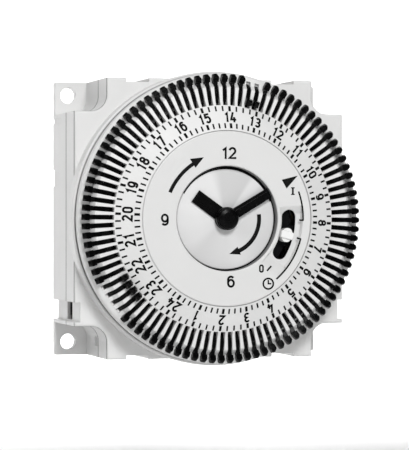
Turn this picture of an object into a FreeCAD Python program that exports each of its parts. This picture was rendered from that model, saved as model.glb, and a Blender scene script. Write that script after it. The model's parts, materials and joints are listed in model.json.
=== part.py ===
"""Programmable 24-hour timer module with 96 quarter-hour tappets.

Frame: +Z up, +X to the right of a person facing the dial, the dial faces -Y.
The origin is the centre of the four mounting holes, on the rear face of the ears.
All sizes are millimetres.  An angle on the dial is counted counter-clockwise from +X
as seen from the front.
"""
import FreeCAD, Part
import math
import os

from FreeCAD import Vector

ORIGIN = Vector(0, 0, 0)
REARWARD = Vector(0, 1, 0)
FORWARD = Vector(0, -1, 0)

# ---- driving dimensions: housing -------------------------------------------------
case_side = 72.0
hole_pitch = 65.0
hole_radius = 2.1
ear_thickness = 2.5
ear_corner_radius = 0.4
joint_y = -15.9
plate_y = -26.0
wall = 2.2
plate_thickness = 2.0
floor_thickness = 2.0
notch_x = 8.5
notch_z = 8.65
notch_radius = 4.2
edge_round = 0.5
collar_outer = 37.7
collar_inner = 36.9
collar_front = -30.35
movement_opening = 20.6
channel_top = -21.3
channel_bottom = -26.4
channel_depth = 1.4
window_front = -17.1
window_rear = -11.3
line_y = -25.5
line_width = 0.35
line_depth = 0.3
tab_y = -13.4
snap_half_height = 2.0
top_recess_x = 19.5
top_recess_width = 6.0
top_recess_depth = 1.0
bay_half_width = 24.0
bay_top = -20.2
bay_bottom = -32.6
bay_floor = -9.8
bay_wall = 1.2
blade_pitch = 9.6
blade_z = -26.4

# ---- driving dimensions: face and dial -------------------------------------------
face_y = -41.0
face_radius = 22.15
recess_radius = 13.3
recess_floor = -38.2
disc_radius = 12.8
disc_front = -39.0
pocket_floor = -39.8
cup_radius = 14.4
cup_rear = -36.3
dial_bore = 22.25
rim_radius = 37.0
rim_rear = -31.0
cone_outer_radius = 36.6
cone_outer_y = -34.5
crown_inner = 29.8
crown_radius = 33.4
crown_outer = 34.7
crown_y = -37.1
skirt_radius = 36.15
split_y = -34.1
gear_ring_outer = 27.2
retainer_y = -36.4

# ---- driving dimensions: tappets -------------------------------------------------
tappet_count = 96
slot_width = 1.2
slot_inner = 28.7
slot_outer = 35.7
tail_room_inner = 27.9
tail_room_outer = 35.1
tail_room_front = -36.6
hinge_groove = 0.45
pivot_radius = 31.45
wire_radius = 0.4
finger_length = 6.0
head_start = 4.15
swing_on = 35.0
swing_off = 40.0
tappet_thickness = 1.0
head_thickness = 1.6
drum_small = 2.6
drum_ribbed = 2.95
drum_large = 3.3
tail_length = 3.7
hour_at_pointer = 10.167
pointer_angle = 30.0
off_tappets = (52, 53, 88, 89, 90, 91)
jointed_tappets = (50, 51, 52, 53, 54, 55, 87, 88, 89, 90, 91, 92)

# ---- driving dimensions: movement ------------------------------------------------
arbor_radius = 0.9
pipe_radius = 1.9
axle_radius = 0.7
running_gap = 0.06
hour_module = 0.384
drive_module = 0.4
dial_module = 0.6
motion_distance = 9.6
motion_angle = 120.0
transfer_distance = 16.8
output_distance = 14.0
output_angle = -100.0
motor_x = -2.0
motor_z = -4.5
motor_radius = 15.5
front_plate_y = -31.0
rear_plate_y = -27.2
frame_plate = 1.0
pillar_angles = (60.0, 180.0, 285.0)
pillar_distance = 17.8

# ---- driving dimensions: override and switch -------------------------------------
override_radius = 16.5
knob_radius = 16.1
override_angle = -15.0
override_slot_half = 1.8
override_slot_start = -31.3
override_slot_end = 1.6
feeler_z = -15.0
feeler_y = -28.0
feeler_x = 29.5
plunger_z = -4.0
switch_x = 26.0
switch_width = 6.4
switch_bottom = -12.0
switch_length = 20.0
switch_rear = -13.8

half = case_side / 2
plate_back = plate_y + plate_thickness
cone_slope = (cone_outer_y - face_y) / (cone_outer_radius - dial_bore)
cone_angle = math.degrees(math.atan(cone_slope))


# ---- general shapes --------------------------------------------------------------
def polar(radius, angle):
    """The (x, z) place of a point on the dial."""
    turn = math.radians(angle)
    return radius * math.cos(turn), radius * math.sin(turn)


def spun(shape, angle):
    """A copy turned counter-clockwise about the dial axis."""
    return shape.rotated(ORIGIN, FORWARD, angle)


def bar(radius, front, rear, x=0.0, z=0.0):
    """A round bar along the depth."""
    return Part.makeCylinder(radius, rear - front, Vector(x, front, z), REARWARD)


def ring(outer, inner, front, rear, x=0.0, z=0.0):
    """A flat ring or tube along the depth."""
    return bar(outer, front, rear, x, z).cut(bar(inner, front - 1, rear + 1, x, z))


def block(x0, x1, y0, y1, z0, z1):
    """A box between two corners."""
    return Part.makeBox(x1 - x0, y1 - y0, z1 - z0, Vector(x0, y0, z0))


def turned(profile, angle=360.0):
    """A solid turned about the dial axis from (radius, y) points."""
    points = [Vector(radius, y, 0) for radius, y in profile]
    face = Part.Face(Part.makePolygon(points + points[:1]))
    return face.revolve(ORIGIN, FORWARD, angle)


def slab(points, front, rear):
    """A flat plate of (x, z) outline between two depths."""
    outline = [Vector(x, front, z) for x, z in points]
    face = Part.Face(Part.makePolygon(outline + outline[:1]))
    return face.extrude(Vector(0, rear - front, 0))


def joined(pieces):
    """One solid out of overlapping or touching pieces."""
    return pieces[0].fuse(pieces[1:]).removeSplitter()


def annular_sector(outer, inner, front, rear, start, end):
    """Part of a flat ring between two angles."""
    profile = [(inner, front), (outer, front), (outer, rear), (inner, rear)]
    return spun(turned(profile, end - start), start)


def edges_along_depth(shape, x, z):
    """The straight edges along Y that stand at one (x, z) place."""
    found = []
    for edge in shape.Edges:
        first = edge.Vertexes[0].Point
        last = edge.Vertexes[-1].Point
        straight = abs(first.x - last.x) < 0.01 and abs(first.z - last.z) < 0.01
        if straight and abs(first.x - x) < 0.01 and abs(first.z - z) < 0.01:
            found.append(edge)
    return found


def notched_prism(side_half, corner_radius, front, rear):
    """A square block with its four corners notched, rounded inside each notch."""
    body = block(-side_half, side_half, front, rear, -side_half, side_half)
    inner_x = side_half - notch_x
    inner_z = side_half - notch_z
    notch = block(inner_x, side_half + 5, front - 1, rear + 1, inner_z, side_half + 5)
    notch = notch.makeFillet(corner_radius, edges_along_depth(notch, inner_x, inner_z))
    right = [notch, notch.mirror(ORIGIN, Vector(0, 0, 1))]
    left = [shape.mirror(ORIGIN, Vector(1, 0, 0)) for shape in right]
    return body.cut(right + left)


# ---- gears -----------------------------------------------------------------------
def involute(radius, base_radius):
    """The involute angle at a radius, in radians."""
    pressure = math.acos(min(1.0, base_radius / radius))
    return math.tan(pressure) - pressure


def tooth_outline(module, teeth, front, tooth_at, x, z, addendum, dedendum, fullness):
    """The closed outline of a toothed wheel, six points to a tooth."""
    pitch_radius = module * teeth / 2
    base_radius = pitch_radius * math.cos(math.radians(20))
    root = pitch_radius - dedendum * module
    tip = pitch_radius + addendum * module
    half_pitch = fullness * math.pi / (2 * teeth)
    at_pitch = half_pitch + involute(pitch_radius, base_radius)
    low = max(root, base_radius)
    flank = [(root, at_pitch - involute(low, base_radius)), (pitch_radius, half_pitch)]
    flank.append((tip, at_pitch - involute(tip, base_radius)))
    tooth = [(r, -a) for r, a in flank] + [(r, a) for r, a in reversed(flank)]
    points = []
    for number in range(teeth):
        middle = math.radians(tooth_at) + 2 * math.pi * number / teeth
        for radius, angle in tooth:
            turn = middle + angle
            points.append(Vector(x + radius * math.cos(turn), front, z + radius * math.sin(turn)))
    return Part.makePolygon(points + points[:1])


def gear(module, teeth, front, rear, tooth_at, bore, x=0.0, z=0.0, addendum=0.7):
    """A spur gear with a round bore; one tooth is centred at the angle tooth_at."""
    outer = tooth_outline(module, teeth, front, tooth_at, x, z, addendum, 1.1, 0.84)
    inner = Part.Wire(Part.Circle(Vector(x, front, z), REARWARD, bore).toShape())
    face = Part.makeFace([outer, inner], "Part::FaceMakerBullseye")
    return face.extrude(Vector(0, rear - front, 0))


def ring_gear(module, teeth, front, rear, gap_at, outer_radius):
    """A ring with inward teeth; one gap is centred at the angle gap_at."""
    inner = tooth_outline(module, teeth, front, gap_at, 0.0, 0.0, 1.1, 0.7, 1.16)
    outer = Part.Wire(Part.Circle(Vector(0, front, 0), REARWARD, outer_radius).toShape())
    face = Part.makeFace([outer, inner], "Part::FaceMakerBullseye")
    return face.extrude(Vector(0, rear - front, 0))


# ---- housing ---------------------------------------------------------------------
def both_sides(shape):
    """A shape and its mirror image on the other side of the case."""
    return [shape, shape.mirror(ORIGIN, Vector(1, 0, 0))]


def side_channels(front, rear):
    """Cutters for the two shallow channels across the side walls."""
    return both_sides(block(half - channel_depth, half + 1, front, rear, channel_bottom, channel_top))


def side_windows():
    """Cutters for the openings in the side channels, which span the housings' joint."""
    inner = half - wall
    return both_sides(
        block(inner - 1, half + 1, window_front, window_rear, channel_bottom + 0.3, channel_top))


def end_recesses(front, rear):
    """Cutters for the four shallow recesses in the top and the bottom."""
    reach = top_recess_width / 2
    low = half - top_recess_depth
    upper = both_sides(block(top_recess_x - reach, top_recess_x + reach, front, rear, low, half + 1))
    return upper + [shape.mirror(ORIGIN, Vector(0, 0, 1)) for shape in upper]


def edge_line():
    """Cutter for the fine groove that runs round the cover behind its front edge."""
    rear = line_y + line_width
    around = block(-half - 1, half + 1, line_y, rear, -half - 1, half + 1)
    return around.cut(notched_prism(half - line_depth, notch_radius + line_depth, line_y - 1, rear + 1))


def build_front_housing():
    """The front cover: a shallow notched box with a round collar for the dial."""
    shell = notched_prism(half, notch_radius, plate_y, joint_y)
    shell = shell.makeFillet(edge_round, edges_on_plane(shell, plate_y))
    cavity = notched_prism(half - wall, notch_radius + wall, plate_back, joint_y + 1)
    channels = side_channels(plate_y - 1, joint_y + 1)
    shell = shell.cut([cavity, edge_line()] + channels + end_recesses(plate_y - 1, joint_y + 1))
    collar = turned([
        (collar_inner, plate_y), (collar_inner, collar_front + 0.2), (collar_inner + 0.2, collar_front),
        (collar_outer - 0.3, collar_front), (collar_outer, collar_front + 0.3),
        (collar_outer, plate_y + 0.4), (half - 0.3, plate_y + 1.8), (half - 0.3, plate_y)])
    lugs = []
    for x0, x1 in ((feeler_x - 3.6, feeler_x - 2.2), (feeler_x + 1.6, feeler_x + 3.0)):
        lugs.append(block(x0, x1, feeler_y - 1.2, plate_y + 0.5, feeler_z - 1.5, feeler_z + 1.5))
    shell = joined([shell, collar] + lugs)
    pin_hole = Part.makeCylinder(0.6, 12, Vector(feeler_x - 5, feeler_y, feeler_z), Vector(1, 0, 0))
    opening = bar(movement_opening, plate_y - 1, plate_back + 1)
    plunger_hole = bar(1.4, plate_y - 1, plate_back + 1, feeler_x - 0.3, plunger_z)
    inner = half - wall
    reach = snap_half_height + 0.4
    pockets = both_sides(block(inner - 1, inner + 0.8, joint_y - 7.0, joint_y - 4.2, -reach, reach))
    return shell.cut([pin_hole, opening, plunger_hole] + pockets + side_windows())


def build_rear_housing():
    """The rear case: notched box with four ears, a terminal bay and two snap hooks."""
    shell = notched_prism(half, notch_radius, joint_y, 0)
    shell = shell.cut(
        side_channels(joint_y - 1, 1) + end_recesses(joint_y - 1, -ear_thickness))
    ears = block(-half, half, -ear_thickness, 0, -half, half)
    corners = []
    for x in (-half, half):
        for z in (-half, half):
            corners += edges_along_depth(ears, x, z)
    ears = ears.makeFillet(ear_corner_radius, corners)
    shell = joined([shell, ears.cut(side_channels(-ear_thickness - 1, 1))])
    shell = shell.cut(notched_prism(half - wall, notch_radius + wall, joint_y - 1, -floor_thickness))
    bay_reach = bay_half_width + bay_wall
    outer_bay = block(
        -bay_reach, bay_reach, bay_floor - bay_wall, -floor_thickness + 0.5, -half + wall - 0.2,
        bay_top + bay_wall)
    side = -half + notch_x
    tab = block(side - 0.6, side + 0.2, tab_y - 1.0, tab_y, -33.1, -30.7)
    shell = joined([shell, outer_bay, tab] + snap_hooks())
    cutters = [block(-bay_half_width, bay_half_width, bay_floor, 1, bay_bottom, bay_top)]
    cutters += blade_shapes() + side_windows()
    for x in (-hole_pitch / 2, hole_pitch / 2):
        for z in (-hole_pitch / 2, hole_pitch / 2):
            cutters.append(bar(hole_radius, -ear_thickness - 1, 1, x, z))
    cutters.append(block(-half - 1, -half + 0.35, -ear_thickness, 1, 8.5, 12.8))
    cutters.append(block(-half - 1, -half + 0.3, -8.5, 1, 25.0, 26.4))
    return shell.cut(cutters)


def snap_hooks():
    """Two tongues that reach into the cover and catch in pockets in its side walls."""
    low = -snap_half_height
    high = snap_half_height
    inner = half - wall
    tongue = block(inner - 1.1, inner - 0.1, joint_y - 6.5, joint_y + 3, low, high)
    root = block(inner - 1.1, inner + 0.3, joint_y, joint_y + 3, low, high)
    barb = block(inner - 0.2, inner + 0.6, joint_y - 6.5, joint_y - 4.6, low, high)
    return both_sides(joined([tongue, root, barb]))


def blade_shapes():
    """The five flat terminal blades, standing in the floor of the bay."""
    blades = []
    for number in range(5):
        x = (number - 2) * blade_pitch
        blade = block(x - 3.15, x + 3.15, -12.6, -1.2, blade_z - 0.4, blade_z + 0.4)
        tip_edges = edges_on_plane(blade, -1.2)
        blades.append(blade.makeChamfer(0.25, tip_edges))
    return blades


def edges_on_plane(shape, y):
    """The edges that lie wholly in the plane at one depth."""
    return [e for e in shape.Edges if max(abs(e.BoundBox.YMin - y), abs(e.BoundBox.YMax - y)) < 0.01]


# ---- face ------------------------------------------------------------------------
def pocket_ramp(angle, length, sign):
    """A wedge that lets the pocket's floor rise to the face at one end."""
    top = face_y - 1
    profile = [Vector(14.0, top, 0), Vector(14.0, pocket_floor, 0), Vector(14.0, face_y, sign * length)]
    profile.append(Vector(14.0, top, sign * length))
    face = Part.Face(Part.makePolygon(profile + profile[:1]))
    return spun(face.extrude(Vector(5.9, 0, 0)), angle)


def build_face_plate():
    """The fixed face: a cup for the hands, a dished pocket for the lever and a bearing tube."""
    plate = turned([
        (2.9, recess_floor), (recess_radius, recess_floor), (recess_radius, face_y + 0.2),
        (recess_radius + 0.2, face_y), (face_radius - 0.25, face_y), (face_radius, face_y + 0.25),
        (face_radius, retainer_y - 0.02), (face_radius - 0.4, retainer_y - 0.02),
        (face_radius - 0.4, retainer_y + 0.42), (face_radius, retainer_y + 0.42),
        (face_radius, plate_y), (movement_opening, plate_y), (movement_opening, -38.7),
        (cup_radius, -38.7), (cup_radius, cup_rear), (2.9, cup_rear)])
    top = face_y - 1
    section = [(13.9, top), (20.2, top), (19.6, pocket_floor), (14.2, pocket_floor)]
    pocket = spun(turned(section, 43), -39)
    slot = annular_sector(
        override_radius + override_slot_half, override_radius - override_slot_half, -42, -38,
        override_slot_start, override_slot_end)
    cutters = [pocket, slot, pocket_ramp(3.9, 2.0, 1), pocket_ramp(-38.9, 3.2, -1)]
    for angle in (override_slot_start, override_slot_end):
        x, z = polar(override_radius, angle)
        cutters.append(bar(override_slot_half, -42, -38, x, z))
    transfer = transfer_place()
    cutters.append(bar(8.3, -34.8, -32.45, transfer[0], transfer[1]))
    cutters.append(annular_sector(face_radius + 1, movement_opening - 1, -30.0, -28.2, -38, 8))
    return plate.cut(cutters)


def build_centre_disc():
    """The thin silvered disc on the floor of the cup."""
    return turned([
        (2.9, recess_floor), (disc_radius, recess_floor), (disc_radius, disc_front + 0.15),
        (disc_radius - 0.15, disc_front), (2.9, disc_front)])


def build_dial_retainer():
    """The split ring that keeps the dial on the bearing tube."""
    whole = ring(24.3, face_radius - 0.4, retainer_y, retainer_y + 0.4)
    return whole.cut(annular_sector(26, 20, retainer_y - 1, retainer_y + 1, 262, 278))


# ---- dial ------------------------------------------------------------------------
def slot_cutters(inner, outer, front):
    """The 96 narrow radial cutters, one for each tappet."""
    cutter = block(inner, outer, front, -30, -slot_width / 2, slot_width / 2)
    return [spun(cutter, tappet_angle(number)) for number in range(tappet_count)]


def tappet_angle(number):
    """Where a tappet stands on the dial; number 0 is the first quarter after hour 0."""
    hour = (number + 0.5) * 24 / tappet_count
    return pointer_angle + 15 * (hour - hour_at_pointer)


def cone_height(radius):
    """Depth of the dial's cone at a radius."""
    return face_y + (radius - dial_bore) * cone_slope


def build_dial_ring():
    """The conical dial with its radial slots, ribbed crown, rim and bearing sleeve."""
    groove_low = pivot_radius - hinge_groove
    groove_high = pivot_radius + hinge_groove
    dial = turned([
        (dial_bore, face_y), (crown_inner, cone_height(crown_inner)), (crown_radius, crown_y),
        (crown_outer, cone_height(crown_outer)), (cone_outer_radius, cone_outer_y),
        (rim_radius, cone_outer_y + 0.4),
        (rim_radius, rim_rear - 0.3), (rim_radius - 0.3, rim_rear), (skirt_radius, rim_rear),
        (skirt_radius, split_y), (groove_high, split_y), (groove_high, split_y - hinge_groove),
        (groove_low, split_y - hinge_groove), (groove_low, split_y), (gear_ring_outer, split_y),
        (gear_ring_outer, -37.3), (23.4, -38.9), (23.4, -36.5), (dial_bore, -36.5)])
    dial = dial.cut(slot_cutters(slot_inner, slot_outer, -43))
    return dial.cut(slot_cutters(tail_room_inner, tail_room_outer, tail_room_front))


def build_tappet_carrier():
    """The slotted ring behind the dial that closes the hinge groove."""
    groove_low = pivot_radius - hinge_groove
    groove_high = pivot_radius + hinge_groove
    carrier = turned([
        (gear_ring_outer, split_y), (groove_low, split_y), (groove_low, split_y + hinge_groove),
        (groove_high, split_y + hinge_groove), (groove_high, split_y), (skirt_radius, split_y),
        (skirt_radius, rim_rear), (gear_ring_outer, rim_rear)])
    return carrier.cut(slot_cutters(tail_room_inner, tail_room_outer, tail_room_front))


def build_hinge_ring():
    """The round wire that all the tappets swing on."""
    return Part.makeTorus(pivot_radius, wire_radius, Vector(0, split_y, 0), REARWARD)


def build_tappet(number, outward):
    """One rocking tappet, leaning outward (on) or inward (off)."""
    lean = cone_angle + (swing_on if outward else -swing_off)
    flat = tappet_thickness / 2
    up = Vector(0, 0, 1)
    drum = Part.makeCylinder(drum_small, tappet_thickness, Vector(0, 0, -flat), up)
    lobe = Part.makeCylinder(drum_large, tappet_thickness, Vector(0, 0, -flat), up, 125)
    stem_outline = [(0, -1.15), (4.0, -0.75), (head_start + 0.2, -0.75), (head_start + 0.2, 0.75)]
    stem_outline += [(4.0, 0.75), (0, 1.15)]
    ribs = [(0, 0)]
    for step in range(31):
        radius = drum_ribbed - 0.2 * (step % 2)
        turn = math.radians(-5 * step)
        ribs.append((radius * math.cos(turn), radius * math.sin(turn)))
    stem = flat_piece(stem_outline, tappet_thickness)
    tail = flat_piece([(0, -0.7), (tail_length, -0.5), (tail_length, 0.5), (0, 0.7)], tappet_thickness)
    tail = tail.rotated(ORIGIN, up, 175.7)
    hole = Part.makeCylinder(wire_radius + 0.1, 4, Vector(0, 0, -2), up)
    pieces = [drum, lobe, flat_piece(ribs, tappet_thickness), stem, build_tappet_head(), tail]
    tappet = joined(pieces).cut(hole)
    tappet = tappet.rotated(ORIGIN, up, -90 + lean)
    tappet.translate(Vector(pivot_radius, split_y, 0))
    return spun(tappet, tappet_angle(number))


def build_tappet_head():
    """The wider finger tip: rounded at its end and ribbed on its inner side."""
    outline = [(head_start, 0.75), (finger_length - 0.4, 0.75), (finger_length, 0.3)]
    outline += [(finger_length, -0.35), (finger_length - 0.35, -0.8)]
    for notch in range(3):
        start = finger_length - 0.5 - 0.42 * notch
        outline += [(start, -0.8), (start - 0.08, -0.6), (start - 0.26, -0.6), (start - 0.34, -0.8)]
    outline += [(head_start, -0.75)]
    radius = head_thickness / 2
    nose = Part.makeCylinder(radius, 4, Vector(finger_length - radius, -2, 0), REARWARD)
    plan = joined([block(head_start - 1, finger_length - radius, -2, 2, -radius, radius), nose])
    return flat_piece(outline, head_thickness).common(plan)


def flat_piece(points, thickness):
    """A flat piece with an (along, across) outline, centred on its own plane."""
    outline = [Vector(along, across, -thickness / 2) for along, across in points]
    face = Part.Face(Part.makePolygon(outline + outline[:1]))
    return face.extrude(Vector(0, 0, thickness))


def build_tappet_group():
    """All the tappets without a joint of their own; every one of them is on."""
    numbers = [n for n in range(tappet_count) if n not in jointed_tappets]
    return Part.makeCompound([build_tappet(number, True) for number in numbers])


# ---- hands and time train --------------------------------------------------------
def motion_place():
    """Place of the motion wheel's axle."""
    return polar(motion_distance, motion_angle)


def transfer_angle():
    """Angle at which the transfer gear meets both the dial pinion and the dial gear."""
    reach = dial_module * (10 + 24) / 2
    top = motion_distance ** 2 + transfer_distance ** 2 - reach ** 2
    return motion_angle + math.degrees(math.acos(top / (2 * motion_distance * transfer_distance)))


def transfer_place():
    """Place of the transfer gear's axle."""
    return polar(transfer_distance, transfer_angle())


def hand(length, width, end_width, hub_radius, bore, front, rear, angle, ridge):
    """A flat hand with a ring at its root and bevelled long edges."""
    w = width / 2
    e = end_width / 2
    blade = slab([(0, -w), (length, -e), (length, e), (0, w)], front + ridge, rear)
    end = length - 0.4
    crest = slab([(0, -w * 0.45), (end, -e * 0.45), (end, e * 0.45), (0, w * 0.45)], front, rear)
    body = joined([blade, crest, bar(hub_radius, front, rear)])
    return spun(body.cut(bar(bore, front - 1, rear + 1)), angle)


def build_hub_cap():
    """The stepped cap on the end of the minute arbor."""
    cap = turned([
        (0, -42.5), (1.6, -42.5), (2.4, -42.2), (2.7, -41.7), (2.7, face_y), (arbor_radius, face_y),
        (arbor_radius, -41.9), (0, -41.9)])
    return cap


def build_minute_arbor():
    """The stepped minute arbor with its rear pivot."""
    return turned([
        (0, -41.9), (arbor_radius, -41.9), (arbor_radius, -27.4), (0.6, -27.4), (0.6, -26.4),
        (0, -26.4)])


def build_hour_wheel():
    """The hour wheel with its pipe, which turns on the minute arbor."""
    wheel = gear(hour_module, 40, -35.9, -34.9, motion_angle + 180.0 / 40, pipe_radius)
    pipe = ring(pipe_radius, arbor_radius + running_gap, -39.7, -32.6)
    return joined([wheel, pipe])


def build_motion_wheel(to_transfer):
    """The moulded motion wheel with its two pinions, for the hour wheel and the dial."""
    motion = motion_place()
    bore = axle_radius + running_gap
    toward_centre = motion_angle + 180
    wheel = gear(drive_module, 36, -32.4, -31.4, toward_centre + 180.0 / 36, bore, *motion)
    hour_pinion = gear(hour_module, 10, -35.9, -34.6, toward_centre, bore, *motion)
    dial_pinion = gear(dial_module, 10, -34.6, -32.4, to_transfer, bore, *motion)
    return joined([wheel, hour_pinion, dial_pinion])


def build_clutch_spring():
    """The three-armed friction spring between drive wheel and arbor."""
    arms = [ring(2.2, arbor_radius, -29.6, -29.3)]
    for turn in (30, 150, 270):
        arms.append(spun(block(1.5, 7.0, -29.6, -29.3, -0.9, 0.9), turn))
    return joined(arms)


# ---- movement frame --------------------------------------------------------------
def build_movement_front_plate():
    """The round front plate of the movement."""
    motion = motion_place()
    transfer = transfer_place()
    plate = bar(20.5, front_plate_y, front_plate_y + frame_plate)
    cutters = [bar(arbor_radius + running_gap, -32, -29)]
    cutters.append(bar(axle_radius, -32, -29, motion[0], motion[1]))
    cutters.append(bar(axle_radius, -32, -29, transfer[0], transfer[1]))
    cutters.append(annular_sector(22, 17.2, -32, -29, -38, 8))
    for angle in pillar_angles:
        x, z = polar(pillar_distance, angle)
        cutters.append(bar(0.8, -32, -29, x, z))
    return plate.cut(cutters)


def build_movement_rear_plate():
    """The round rear plate of the movement."""
    x, z = polar(output_distance, output_angle)
    plate = bar(20.2, rear_plate_y, rear_plate_y + frame_plate)
    return plate.cut([bar(0.66, -28, -26), bar(axle_radius + 0.3, -28, -26, x, z)])


def build_pillars():
    """The three spacers between the movement plates."""
    pillars = []
    for angle in pillar_angles:
        x, z = polar(pillar_distance, angle)
        pillars.append(ring(1.5, 0.8, front_plate_y + frame_plate, rear_plate_y, x, z))
    return Part.makeCompound(pillars)


def build_movement_screws():
    """The three cheese-head screws that hold the front plate on its pillars."""
    screws = []
    for angle in pillar_angles:
        x, z = polar(pillar_distance, angle)
        head = bar(1.4, front_plate_y - 0.7, front_plate_y, x, z)
        head = head.cut(block(x - 2, x + 2, front_plate_y - 1, front_plate_y - 0.4, z - 0.2, z + 0.2))
        screws.append(joined([head, bar(0.8, front_plate_y, -28, x, z)]))
    return Part.makeCompound(screws)


# ---- motor -----------------------------------------------------------------------
def build_motor_can():
    """The drawn motor can, closed at the rear."""
    body = bar(motor_radius, -25.4, -13.4, motor_x, motor_z)
    hollow = bar(motor_radius - 0.8, -26, -14.2, motor_x, motor_z)
    return body.cut([hollow, bar(0.75 + running_gap, -15, -13, motor_x, motor_z)])


def build_motor_lid():
    """The motor's front lid with bearings for rotor and output shaft."""
    x, z = polar(output_distance, output_angle)
    lid = bar(motor_radius, -26.2, -25.4, motor_x, motor_z)
    rotor_bearing = bar(0.75 + running_gap, -27, -25, motor_x, motor_z)
    output_bearing = bar(axle_radius + running_gap, -27, -25, x, z)
    return lid.cut([rotor_bearing, output_bearing])


def build_coil_bobbin():
    """The two-flanged coil former."""
    body = bar(14.3, -23.8, -15.0, motor_x, motor_z)
    groove = ring(15, 9, -23.0, -15.8, motor_x, motor_z)
    return body.cut([groove, bar(8.2, -25, -14, motor_x, motor_z)])


def build_output_pinion():
    """The output pinion and its shaft."""
    x, z = polar(output_distance, output_angle)
    pinion = gear(drive_module, 10, -29.3, -28.3, output_angle + 180, axle_radius, x, z)
    return joined([pinion, bar(axle_radius, -29.5, -24.2, x, z)])


# ---- override --------------------------------------------------------------------
def build_override_lever():
    """The lever ring round the cup with its arm to the feeler."""
    pieces = [ring(17.2, cup_radius + 0.1, -38.5, -37.3)]
    pieces.append(annular_sector(20.0, 17.0, -38.5, -37.3, -24, -6))
    pieces.append(annular_sector(20.0, 17.9, -37.4, -28.6, -19, -11))
    pieces.append(annular_sector(26.6, 17.9, -29.6, -28.6, -17.5, -12.5))
    lever = joined(pieces)
    notches = []
    for step in (-15, 0, 15):
        x, z = polar(17.4, 190 + step)
        notches.append(bar(0.5, -39, -37, x, z))
    return lever.cut(notches)


def build_override_knob():
    """The stepped white knob that stands out of the slot."""
    base = rounded_block(2.5, 3.6, -41.5, -38.5, 1.2)
    cap = rounded_block(3.3, 1.9, -42.1, -40.3, 0.4)
    knob = joined([base, cap.makeFillet(0.3, edges_on_plane(cap, -42.1))])
    knob.translate(Vector(knob_radius, 0, 0))
    return spun(knob, override_angle)


def rounded_block(width, height, front, rear, radius):
    """A block about the Y axis with rounded corners."""
    w = width / 2
    h = height / 2
    body = block(-w, w, front, rear, -h, h)
    corners = []
    for x in (-w, w):
        for z in (-h, h):
            corners += edges_along_depth(body, x, z)
    return body.makeFillet(radius, corners)


def build_detent_spring():
    """The leaf spring whose nib holds the override lever in its three places."""
    leaf = annular_sector(18.9, 18.5, -38.5, -37.3, 172, 212)
    foot = annular_sector(20.5, 18.5, -38.5, -37.3, 210, 214)
    x, z = polar(18.0, 190)
    nib = bar(0.35, -38.5, -37.3, x, z)
    bridge = annular_sector(18.6, 18.0, -38.5, -37.3, 189, 191)
    return joined([leaf, foot, nib, bridge])


# ---- switching -------------------------------------------------------------------
def build_feeler_lever():
    """The lever whose nose feels the tappets' tails and presses the switch."""
    x0 = feeler_x - 1.2
    x1 = feeler_x + 1.5
    arm = block(x0, x1, feeler_y - 0.6, feeler_y + 0.6, feeler_z, 2.0)
    nose = block(x0, 34.0, feeler_y - 0.6, feeler_y + 0.6, -1.0, 2.0)
    tip = block(31.4, 34.0, -30.05, feeler_y, -0.4, 1.4)
    boss = Part.makeCylinder(1.3, x1 - x0, Vector(x0, feeler_y, feeler_z), Vector(1, 0, 0))
    hole = Part.makeCylinder(0.6 + running_gap, 8, Vector(x0 - 2, feeler_y, feeler_z), Vector(1, 0, 0))
    return joined([arm, nose, tip, boss]).cut(hole)


def build_feeler_pin():
    """The feeler lever's hinge pin."""
    return Part.makeCylinder(0.6, 6.6, Vector(feeler_x - 3.6, feeler_y, feeler_z), Vector(1, 0, 0))


def build_feeler_spring():
    """The small torsion spring coiled round the hinge pin."""
    wire = 0.13
    radius = 0.95
    helix = Part.makeHelix(0.28, 0.56, radius)
    section = Part.Wire(Part.Circle(Vector(radius, 0, 0), Vector(0, 1, 0), wire).toShape())
    coil = Part.Wire(helix.Edges).makePipeShell([section], True, True)
    coil.rotate(ORIGIN, Vector(0, 1, 0), 90)
    coil.translate(Vector(feeler_x - 2.03, feeler_y, feeler_z))
    return coil


def build_switch_case():
    """The open-sided case of the snap switch."""
    top = switch_bottom + switch_length
    body = block(switch_x, switch_x + switch_width - 0.8, plate_back, switch_rear, switch_bottom, top)
    hollow = block(
        switch_x + 0.8, switch_x + switch_width, plate_back + 0.8, switch_rear - 0.8,
        switch_bottom + 0.8, top - 0.8)
    hole = bar(1.2 + running_gap, plate_back - 1, plate_back + 2, feeler_x - 0.3, plunger_z)
    return body.cut([hollow, hole] + switch_pins())


def switch_pins():
    """The three contact pins that pass through the rear wall of the switch."""
    pins = []
    for z in (-9.0, -2.0, 5.0):
        pins.append(block(28.4, 30.4, -16.0, -11.4, z - 0.3, z + 0.3))
    return pins


def build_switch_lid():
    """The flat side lid of the snap switch."""
    x = switch_x + switch_width
    return block(x - 0.8, x, plate_back, switch_rear, switch_bottom, switch_bottom + switch_length)


def build_switch_plunger():
    """The switch's plunger, round outside and flat-footed inside."""
    x = feeler_x - 0.3
    return joined([bar(1.2, -27.3, -22.6, x, plunger_z), bar(1.7, -22.9, -22.1, x, plunger_z)])


def build_switch_blade():
    """The snap blade with its contact, standing on the middle pin."""
    foot = block(28.6, 30.2, -21.0, -16.0, -2.25, -1.75)
    leaf = block(28.6, 30.2, -21.0, -20.8, -9.6, -1.75)
    contact = bar(0.7, -20.8, -20.2, 29.4, -8.9)
    return joined([foot, leaf, contact])


def build_lead_wires():
    """Insulated leads from the switch pins and the motor to the terminal blades."""
    level = -11.9
    wires = []
    starts = [(29.4, -9.0), (29.4, -2.0), (29.4, 5.0)]
    ends = [(2 * blade_pitch, 1.2), (blade_pitch, 1.2), (0.0, 1.2)]
    for (x0, z0), (x1, lift) in zip(starts, ends):
        wires.append(wire_run([(x0 - 1.6, z0), (x1 + 3.4 - lift, z0), (x1, blade_z + 1.1)], level))
    for index, x in ((1, -6.0), (2, -12.0)):
        wires.append(wire_run([(x, -12.0), (-index * blade_pitch, blade_z + 1.1)], level))
    return Part.makeCompound(wires)


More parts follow.
